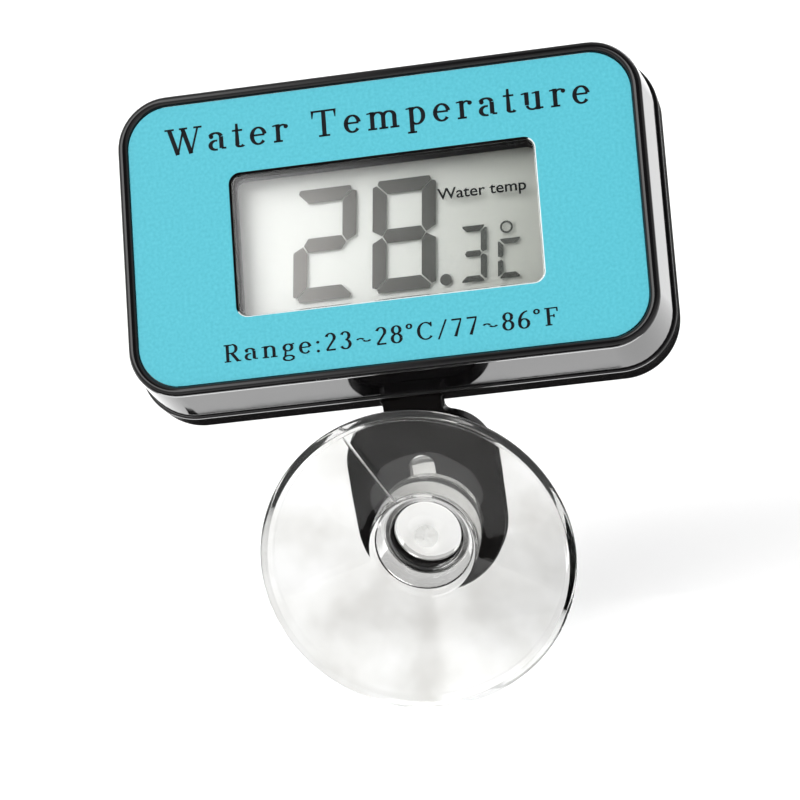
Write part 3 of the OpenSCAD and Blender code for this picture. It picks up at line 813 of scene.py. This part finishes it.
shoulder = (foot_r - shoulder_r, tab_top - shoulder_r)
fillet = (neck_half + neck_fillet, shoulder[1] + math.sqrt(
    (shoulder_r + neck_fillet) ** 2 - (neck_half + neck_fillet - shoulder[0]) ** 2))
meet = math.degrees(math.atan2(fillet[1] - shoulder[1], fillet[0] - shoulder[0]))
right_side = np.concatenate((
    [(neck_half + neck_fillet, neck_end)],
    arc((neck_half + neck_fillet, neck_root), neck_fillet, 90, 180, 8),
    arc(fillet, neck_fillet, 180, 180 + meet, 10), arc(shoulder, shoulder_r, meet, 0, 24),
    arc((0, 0), foot_r, 0, -90, 40)))
tab_loop = np.concatenate((right_side, right_side[-2::-1] * (-1, 1)))
slot_meets = math.degrees(math.asin(slot_half / hole_r))
hole_loop = np.concatenate((arc((0, 0), hole_r, 90 + slot_meets, 450 - slot_meets, 72),
                            arc((0, slot_top - slot_half), slot_half, 0, 180, 20)))
tab_mesh = flat_plate("tab", [tab_loop, hole_loop], tab_thickness, tab_edge)
tab_points = points_of(tab_mesh)
tab_mesh.vertices.foreach_set("co", (MM * np.stack(
    (tab_points[:, 0], tab_front + tab_thickness / 2 + tab_points[:, 2], tab_points[:, 1]), -1)).ravel())
tidy_mesh(tab_mesh)
tab = placed("tab", tab_mesh)
back_cover.modifiers.clear()
union = back_cover.modifiers.new("tab", "BOOLEAN")
union.operation = "UNION"
union.solver = "EXACT"
union.object = tab
joined = settled(back_cover)
back_cover.modifiers.clear()
back_cover.data = joined
joined.name = "back_cover_moulding"
bpy.data.objects.remove(tab)
joined.set_sharp_from_angle(angle=math.radians(40))
flats = back_cover.modifiers.new("flat faces", "WEIGHTED_NORMAL")
flats.keep_sharp = True
joined.materials.clear()
satin_black = finish("satin_black_abs", Base_Color=linear(10, 8, 8), Specular_IOR_Level=0.05)
moulded(satin_black, 0.5, 0.002, 0.08, 0.16)
joined.materials.append(satin_black)
joined.materials.append(gloss_black)
centres, normals = faces_in_case(back_cover)
polished_edge = 0.3
at_joint = ((centres[:, 1] < shell_end + polished_edge) & (centres[:, 1] > tongue_front)
            & (centres[:, 2] > -cover_h / 2 - 0.1))
pick_finish(back_cover, at_joint)
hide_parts("back_cover")
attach(back_cover, "case")


# ---- contacts, wires and cells ----
# Plated spring leaves in the chamber's floor, soldered to short wires, and two alkaline button cells
# that stand side by side, one each way up.
plated = finish("contact_plating", Base_Color=linear(214, 208, 190), Metallic=1.0)
drift(plated, 0.2, 0.4, 0.5, 4.0)
relief(plated, mottle(plated, 0.2, 2.0, (6, 1, 1)), 0.004)
for name in ("positive_contact", "negative_contact", "bridge_contact"):
    dress(name, plated)

jacket = finish("wire_jacket", Base_Color=linear(160, 34, 32), Specular_IOR_Level=0.4)
moulded(jacket, 0.3, 0.004, 0.35, 0.5)
dress("contact_wires", jacket)

cell_can = finish("cell_can", Base_Color=linear(208, 209, 212), Metallic=1.0)
drift(cell_can, 0.14, 0.34, 0.6, 5.0)
relief(cell_can, mottle(cell_can, 0.25, 3.0), 0.003)
for name in ("battery_cell_left", "battery_cell_right"):
    dress(name, cell_can)


# ---- O-ring and battery cap ----
# The cap screws into the boss on a 1.5 mm pitch thread with a coin, and its flange presses the
# O-ring on its seat. The edge is notched for the fingers.
dress("cap_o_ring", seal_rubber)

flange_front, flange_thickness = 16.45, 1.5
cap_back = flange_front + flange_thickness
cap_r, cap_edge = 15.6, 0.5
notch_count, notch_r, notch_out = 18, 0.7, 0.25
notch_ease = 0.18
skirt_r, skirt_in, skirt_front = 13.35, 12.2, 13.45
pitch, thread_depth, run_out = 1.5, 0.3, 0.4
coin_slot_w, coin_slot_h, coin_slot_depth = 17.2, 2.2, 0.9
cap_steps = 150


def notched_ring(inset, depth):
    """The cap's edge: radius cap_r, scooped at each notch by a circle of notch_r whose centre is
    notch_out beyond the edge. The scoop's corner is eased by a smooth minimum of the two radii."""
    angle = corner_angles(cap_steps)
    share = 2 * np.pi / notch_count
    off = (angle + share / 2) % share - share / 2
    centre = cap_r + notch_out
    inside = notch_r ** 2 - (centre * np.sin(off)) ** 2
    scoop = np.where(inside > 0, centre * np.cos(off) - np.sqrt(np.clip(inside, 0, None)), cap_r + 1)
    level = np.clip(0.5 + 0.5 * (scoop - cap_r) / notch_ease, 0, 1)
    radius = scoop * (1 - level) + cap_r * level - notch_ease * level * (1 - level) - inset
    return np.stack((radius * np.cos(angle), np.full(len(angle), depth), radius * np.sin(angle)), -1)


def threaded_ring(depth):
    """The skirt at one depth: the thread is a wave down the skirt that moves on one pitch in a turn,
    and it dies away at both ends of the skirt, over a length of run_out."""
    angle = corner_angles(cap_steps)
    wave = 0.5 - 0.5 * np.cos(2 * np.pi * depth / pitch - angle)
    runs_out = (np.clip((depth - skirt_front) / run_out, 0, 1)
                * np.clip((flange_front - depth) / run_out, 0, 1))
    radius = skirt_r - thread_depth * runs_out * wave ** 1.5
    return np.stack((radius * np.cos(angle), np.full(len(angle), depth), radius * np.sin(angle)), -1)


def plain_ring(radius, depth):
    """A circle at one depth with as many points as the cap's other rings."""
    return round_ring(radius, depth, cap_steps)


edge_run = eased([(1.2, flange_front), (0, flange_front), (0, cap_back), (1.2, cap_back)],
                 (0.15, cap_edge), 6)
slot_run = eased([(0.6, cap_back), (0, cap_back), (0, cap_back - coin_slot_depth),
                  (-0.5, cap_back - coin_slot_depth)], (0.15, 0.15), 4)
cap_rings = [plain_ring(skirt_in, flange_front), plain_ring(skirt_in, skirt_front + 0.2),
             plain_ring(skirt_in + 0.2, skirt_front), plain_ring(skirt_r - 0.25, skirt_front)]
cap_rings += [threaded_ring(depth) for depth in np.linspace(skirt_front + 0.15, flange_front, 36)]
cap_rings += [notched_ring(inset, depth) for inset, depth in edge_run]
cap_rings += [at_depth(outline(coin_slot_w + 2 * out, coin_slot_h + 2 * out, coin_slot_h / 2 + out,
                               cap_steps), depth) for out, depth in slot_run]
cap = solid("battery_cap_moulding", [skin(cap_rings)])
cap_black = finish("cap_black_abs", Base_Color=linear(22, 22, 24), Specular_IOR_Level=0.5,
                   Coat_Weight=0.3, Coat_Roughness=0.06)
moulded(cap_black, 0.6, 0.0025, 0.2, 0.34)
cap.data.materials.append(cap_black)
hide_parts("battery_cap")
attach(cap, "battery_cap")


# ---- suction cup ----
# Clear soft PVC, moulded in one piece: a thin cone with a flat sealing lip, a hollow boss in front
# of the tab, a neck through it and a round retaining head behind, with the gate's mark left in the
# hollow.
cup_r, lip = 17.5, 0.8
recess_r, recess_y = 4.1, 8.0
hollow_r, hollow_y = 5.9, 4.4
inner_rim_r, inner_rim_y = cup_r - lip - 0.5, 0.45
rim_thickness, rim_slope, rim_back = 0.25, 1.3, 1.45
boss_front_y, cup_boss_r = 6.2, 6.0
cup_neck_r = 4.0
head_front = tab_front + tab_thickness + 0.1
head_back, head_round = head_front + 3.6, 1.4
seam_angle = math.radians(111.7)
seam_rise, seam_half = 0.07, 0.1
gate_r, gate_rise = 1.5, 0.35
station, whole_turn_steps, seam_turn_steps = 0.45, 192, 41

cup_path = eased([
    (0, recess_y), (recess_r, recess_y), (hollow_r, hollow_y), (inner_rim_r, inner_rim_y),
    (cup_r - lip, 0), (cup_r, 0), (cup_r, rim_thickness), (cup_r - rim_slope, rim_back),
    (cup_boss_r, boss_front_y), (cup_boss_r, tab_front - 0.1), (cup_neck_r, tab_front - 0.1),
    (cup_neck_r, head_front), (cup_boss_r, head_front), (cup_boss_r, head_back), (0, head_back)],
    (0.5, 0.5, 0.5, 0.15, 0.08, 0.1, 0.3, 0.8, 0.4, 0.2, 0.2, 0.4, head_round), 6)
legs = np.linalg.norm(np.diff(cup_path, axis=0), axis=1)
walked = np.concatenate(([0], np.cumsum(legs)))
stations = np.unique(np.concatenate((walked, np.arange(0, walked[-1], station))))
cup_path = np.stack([np.interp(stations, walked, cup_path[:, part]) for part in (0, 1)], -1)
whole_turn = np.linspace(0, 2 * np.pi, whole_turn_steps + 1)[:-1]
seam_turns = seam_angle + np.linspace(-0.04, 0.04, seam_turn_steps)
turns = np.unique(np.concatenate((whole_turn, seam_turns)))


def cup_surface(path, angle):
    """The path turned about the cup's axis. On the front of the cone a fine moulding line stands out
    as a narrow bell across the seam's radius, and the torn gate stands in the hollow as a low button
    with three lobes."""
    radius, depth = path[:, :1], np.repeat(path[:, 1:], len(angle), axis=1)
    across_seam = radius * np.sin(angle - seam_angle)
    cone_front = np.interp(radius, (hollow_r, inner_rim_r), (hollow_y, inner_rim_y))
    on_front = ((radius > hollow_r + 0.3) & (radius < inner_rim_r - 0.4)
                & (np.abs(depth - cone_front) < 0.25) & (np.cos(angle - seam_angle) > 0))
    line = seam_rise * np.exp(-(across_seam / seam_half) ** 2) * on_front
    torn = 1 + 0.5 * np.sin(3 * angle + 4 * radius) * np.clip(radius / gate_r, 0, 1)
    gate = gate_rise * torn * np.exp(-(radius / gate_r) ** 4) * (depth < recess_y + 1)
    y = depth - line - gate
    return np.stack((radius * np.cos(angle), y, radius * np.sin(angle)), -1)


cup = solid("suction_cup_moulding", [skin(cup_surface(cup_path, turns))],
            lambda points: MM * points)
clear_pvc = clear("clear_pvc", 1.46, (0.98, 0.985, 0.985, 1))
clouds = spread(clear_pvc, mottle(clear_pvc, 8.0, 3.0), 0, 1)
feed(clear_pvc, "Base Color", shades(clear_pvc, clouds, linear(212, 211, 208),
                                     linear(230, 230, 228), linear(243, 243, 243)))
drift(clear_pvc, 0.0, 0.05, 3.0, 4.0)
relief(clear_pvc, mottle(clear_pvc, 5.0, 1.0), 0.02)
torn_pvc = clear("torn_pvc", 1.46, (0.55, 0.55, 0.53, 1))
drift(torn_pvc, 0.25, 0.6, 0.5, 4.0)
relief(torn_pvc, mottle(torn_pvc, 0.35, 3.0), 0.12)
cup.data.materials.append(clear_pvc)
cup.data.materials.append(torn_pvc)
centres, normals = faces_in_row(cup)
centres = centres / MM
reach = np.hypot(centres[:, 0], centres[:, 2])
off_seam = centres[:, 2] * math.cos(seam_angle) - centres[:, 0] * math.sin(seam_angle)
along_seam = centres[:, 0] * math.cos(seam_angle) + centres[:, 2] * math.sin(seam_angle)
front = normals[:, 1] < -0.3
on_seam = (front & (np.abs(off_seam) < seam_half)
           & (along_seam > hollow_r) & (along_seam < inner_rim_r))
on_gate = front & (reach < gate_r) & (centres[:, 1] < recess_y + 1)
pick_finish(cup, on_seam | on_gate)
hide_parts("suction_cup")
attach(cup, "suction_cup")


# ---- floor and light ----
# A white floor under the part and one soft box behind it, in an even pale room with a bright soft
# window in front and above. Cards over the floor and a dark patch in the room, which only
# reflections and the clear cup pick up, shade the glossy plastic.
floor_z_m = cad_low.z
floor_half_m = 3.0
floor_mesh = bpy.data.meshes.new("floor")
corners = np.array([(-1, -1), (1, -1), (1, 1), (-1, 1)]) * floor_half_m
floor_mesh.from_pydata(np.column_stack((corners, np.full(4, floor_z_m))).tolist(), [], [(0, 1, 2, 3)])
floor = placed("floor", floor_mesh)
paper = finish("white_paper", Base_Color=(0.95, 0.95, 0.95, 1), Roughness=0.9, Specular_IOR_Level=0.1)
floor_mesh.materials.append(paper)


def soft_box(name, spot, target, size, power):
    """A square area lamp at spot, in metres, facing target."""
    lamp = bpy.data.lights.new(name, "AREA")
    lamp.shape = "RECTANGLE"
    lamp.size, lamp.size_y = size
    lamp.energy = power
    box = placed(name, lamp)
    spot, target = Vector(spot), Vector(target)
    turned = (target - spot).to_track_quat("-Z", "Y").to_matrix().to_4x4()
    box.matrix_world = Matrix.Translation(spot) @ turned


def card(name, corners, glow, lift=0.4):
    """A flat card just over the floor, from its corners in x and y, which shows only in reflections."""
    mesh = bpy.data.meshes.new(name)
    mesh.from_pydata([(x * MM, y * MM, floor_z_m + lift * MM) for x, y in corners], [],
                     [list(range(len(corners)))])
    made = placed(name, mesh)
    mesh.materials.append(finish(name, Base_Color=(0.01, 0.01, 0.01, 1), Roughness=1.0,
                                 Specular_IOR_Level=0.0, Emission_Color=(1, 1, 1, 1),
                                 Emission_Strength=glow))
    made.visible_camera = made.visible_diffuse = made.visible_shadow = False
    made.visible_transmission = False
    return made


dark_front = card("dark_card_front", [(-120, -55), (30, -55), (30, -14), (-120, -14)], 0.03)
dark_front.visible_transmission = True
card("bright_strip", [(-60, -3), (50, -3), (50, 27), (-60, 27)], 9.0)
card("bright_card", [(-300, 27), (400, 27), (400, 800), (-300, 800)], 1.8)
card("dark_card_rear", [(-62, 120), (-51, 72), (-40, 40), (-36, 37), (24, 37), (31, 42), (44, 53),
                        (55, 77), (59, 120), (55, 150), (80, 340), (30, 340), (30, 120)], 0.02, 0.6)
soft_box("rear_light", (0.45, 0.75, 0.5), (0.03, 0.12, -0.02), (0.5, 0.4), 4.0)

room = bpy.data.worlds.new("studio")
bpy.context.scene.world = room
room.use_nodes = True
room_light, key_light, flag_cover = 0.74, 4.4, 0.9
way = grow(room, "SeparateXYZ", {"Vector": grow(room, "TexCoord", {}).outputs["Generated"]})


def fade(socket, start, end):
    """How far one part of the direction has gone from start to end, eased at both ends."""
    return grow(room, "MapRange", {"Value": way.outputs[socket], "From Min": start, "From Max": end},
                interpolation_type="SMOOTHSTEP").outputs["Result"]


def times(first, second):
    """The product of two values."""
    return grow(room, "Math", {0: first, 1: second}, operation="MULTIPLY").outputs[0]


in_front = times(fade("Z", 0.3, 0.6), fade("Y", -0.05, -0.4))
soft_window = times(in_front, fade("X", -0.15, -0.27))
dark_flag = times(times(in_front, fade("X", -0.24, -0.12)),
                  grow(room, "LightPath", {}).outputs["Is Glossy Ray"])
walls = grow(room, "Math", {0: dark_flag, 1: -flag_cover * room_light, 2: room_light},
             operation="MULTIPLY_ADD")
strength = grow(room, "Math", {0: soft_window, 1: key_light, 2: walls.outputs[0]},
                operation="MULTIPLY_ADD")
background = room.node_tree.nodes["Background"]
background.inputs["Color"].default_value = (1, 1, 1, 1)
room.node_tree.links.new(strength.outputs[0], background.inputs["Strength"])
